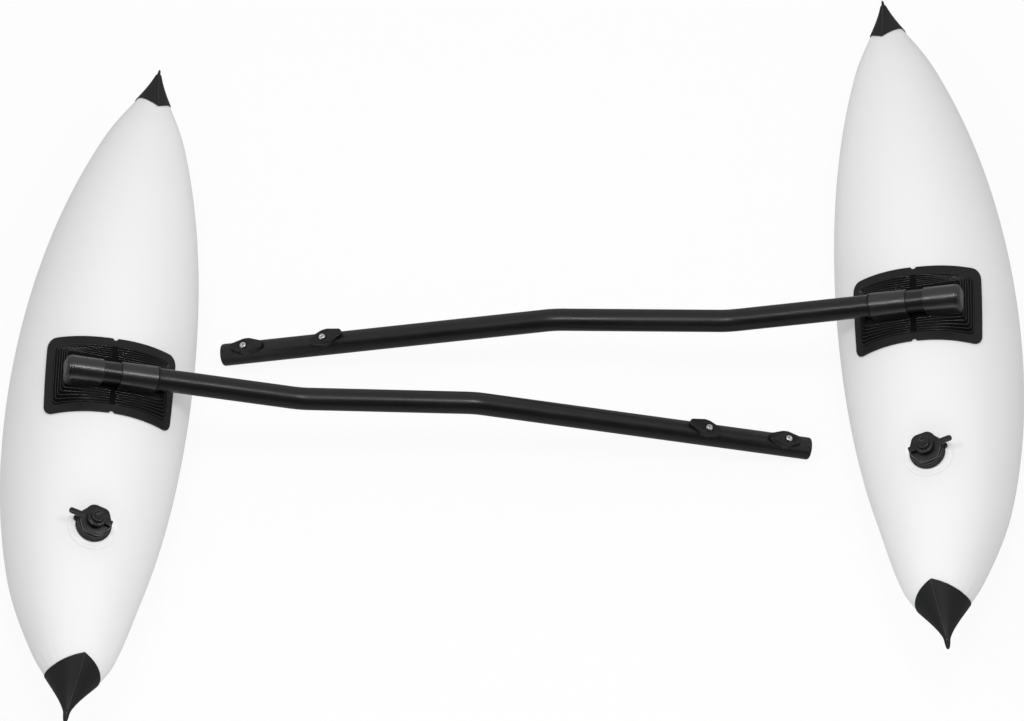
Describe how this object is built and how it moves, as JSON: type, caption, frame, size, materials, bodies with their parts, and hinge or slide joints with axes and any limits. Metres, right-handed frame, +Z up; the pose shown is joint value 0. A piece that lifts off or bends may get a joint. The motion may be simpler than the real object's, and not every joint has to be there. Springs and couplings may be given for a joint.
{
  "type": "kayak outrigger",
  "caption": "Pair of inflatable kayak outriggers: spindle floats with tip caps and screw valves, ribbed sleeve pads, and bent tube arms that plug in and bolt to the deck.",
  "frame": {"origin": "middle of the pair's footprint, on the ground that the floats lie on", "axes": "+X across the boat from the left float to the right one, +Y along the floats to their bows, +Z up"},
  "size_m": [1.4496, 1.2064, 0.3161],
  "materials": {
    "hull_film": "white coated film, soft sheen",
    "tip_film": "dark grey coated film, matte",
    "pad_rubber": "black moulded rubber, satin on the rib crowns",
    "black_tube": "black anodised, satin",
    "black_plastic": "black moulded plastic, satin",
    "clear_film": "translucent welding film",
    "bright_steel": "bright stainless steel",
    "seal_rubber": "soft black rubber"
  },
  "bodies": {
    "arms": {"left_arm_tube": "black_tube", "left_blind_end_plug": "black_plastic", "left_deck_end_plug": "black_plastic", "left_outer_saddle": "black_plastic", "left_inner_saddle": "black_plastic", "left_outer_screw": "bright_steel", "left_inner_screw": "bright_steel", "left_outer_washer": "bright_steel", "left_inner_washer": "bright_steel", "left_outer_lock_nut": "bright_steel", "left_inner_lock_nut": "bright_steel", "right_arm_tube": "black_tube", "right_blind_end_plug": "black_plastic", "right_deck_end_plug": "black_plastic", "right_outer_saddle": "black_plastic", "right_inner_saddle": "black_plastic", "right_outer_screw": "bright_steel", "right_inner_screw": "bright_steel", "right_outer_washer": "bright_steel", "right_inner_washer": "bright_steel", "right_outer_lock_nut": "bright_steel", "right_inner_lock_nut": "bright_steel"},
    "left_ring": {"left_sleeve_ring": "pad_rubber"},
    "left_float": {"left_float_hull": "hull_film", "left_bow_cap": "tip_film", "left_stern_cap": "tip_film", "left_sleeve_pad": "pad_rubber", "left_valve_flange": "clear_film", "left_valve_base": "black_plastic"},
    "left_seal": {"left_plug_seal": "seal_rubber"},
    "left_plug": {"left_valve_plug": "black_plastic", "left_check_flap": "seal_rubber"},
    "left_cap": {"left_valve_cap": "black_plastic"},
    "right_ring": {"right_sleeve_ring": "pad_rubber"},
    "right_float": {"right_float_hull": "hull_film", "right_bow_cap": "tip_film", "right_stern_cap": "tip_film", "right_sleeve_pad": "pad_rubber", "right_valve_flange": "clear_film", "right_valve_base": "black_plastic"},
    "right_seal": {"right_plug_seal": "seal_rubber"},
    "right_plug": {"right_valve_plug": "black_plastic", "right_check_flap": "seal_rubber"},
    "right_cap": {"right_valve_cap": "black_plastic"}
  },
  "joints": [
    {"name": "left_sleeve_pull", "type": "slide", "parent": "arms", "child": "left_ring", "axis": [-0.9497, -0.0279, 0.3119], "range_m": [0, 0.12]},
    {"name": "left_arm_twist", "type": "hinge", "parent": "left_ring", "child": "left_float", "pos_m": [-0.50286, -0.08514, 0.25851], "axis": [0.9497, 0.0279, -0.3119], "range_deg": [-90, 90]},
    {"name": "left_plug_rise", "type": "slide", "parent": "left_float", "child": "left_seal", "axis": [0.2286, -0.117, 0.9665], "range_m": [0, 0.0031]},
    {"name": "left_plug_turn", "type": "hinge", "parent": "left_seal", "child": "left_plug", "pos_m": [-0.5806, -0.31674, 0.26941], "axis": [0.2286, -0.117, 0.9665], "range_deg": [0, 360]},
    {"name": "left_cap_flip", "type": "hinge", "parent": "left_plug", "child": "left_cap", "pos_m": [-0.55981, -0.3233, 0.26541], "axis": [0.3081, 0.9504, 0.0422], "range_deg": [0, 90]},
    {"name": "right_sleeve_pull", "type": "slide", "parent": "arms", "child": "right_ring", "axis": [0.9479, -0.0644, 0.3119], "range_m": [0, 0.12]},
    {"name": "right_arm_twist", "type": "hinge", "parent": "right_ring", "child": "right_float", "pos_m": [0.50674, 0.03443, 0.25851], "axis": [-0.9479, 0.0644, -0.3119], "range_deg": [-90, 90]},
    {"name": "right_plug_rise", "type": "slide", "parent": "right_float", "child": "right_seal", "axis": [-0.2329, -0.1082, 0.9665], "range_m": [0, 0.0031]},
    {"name": "right_plug_turn", "type": "hinge", "parent": "right_seal", "child": "right_plug", "pos_m": [0.57554, -0.19999, 0.26941], "axis": [-0.2329, -0.1082, 0.9665], "range_deg": [0, 360]},
    {"name": "right_cap_flip", "type": "hinge", "parent": "right_plug", "child": "right_cap", "pos_m": [0.55451, -0.20575, 0.26541], "axis": [0.2714, -0.9615, -0.0422], "range_deg": [0, 90]}
  ],
  "couplings": [
    {"joint": "left_plug_rise", "follows": "left_plug_turn", "m_per_rad": 0.00047746},
    {"joint": "right_plug_rise", "follows": "right_plug_turn", "m_per_rad": 0.00047746}
  ]
}
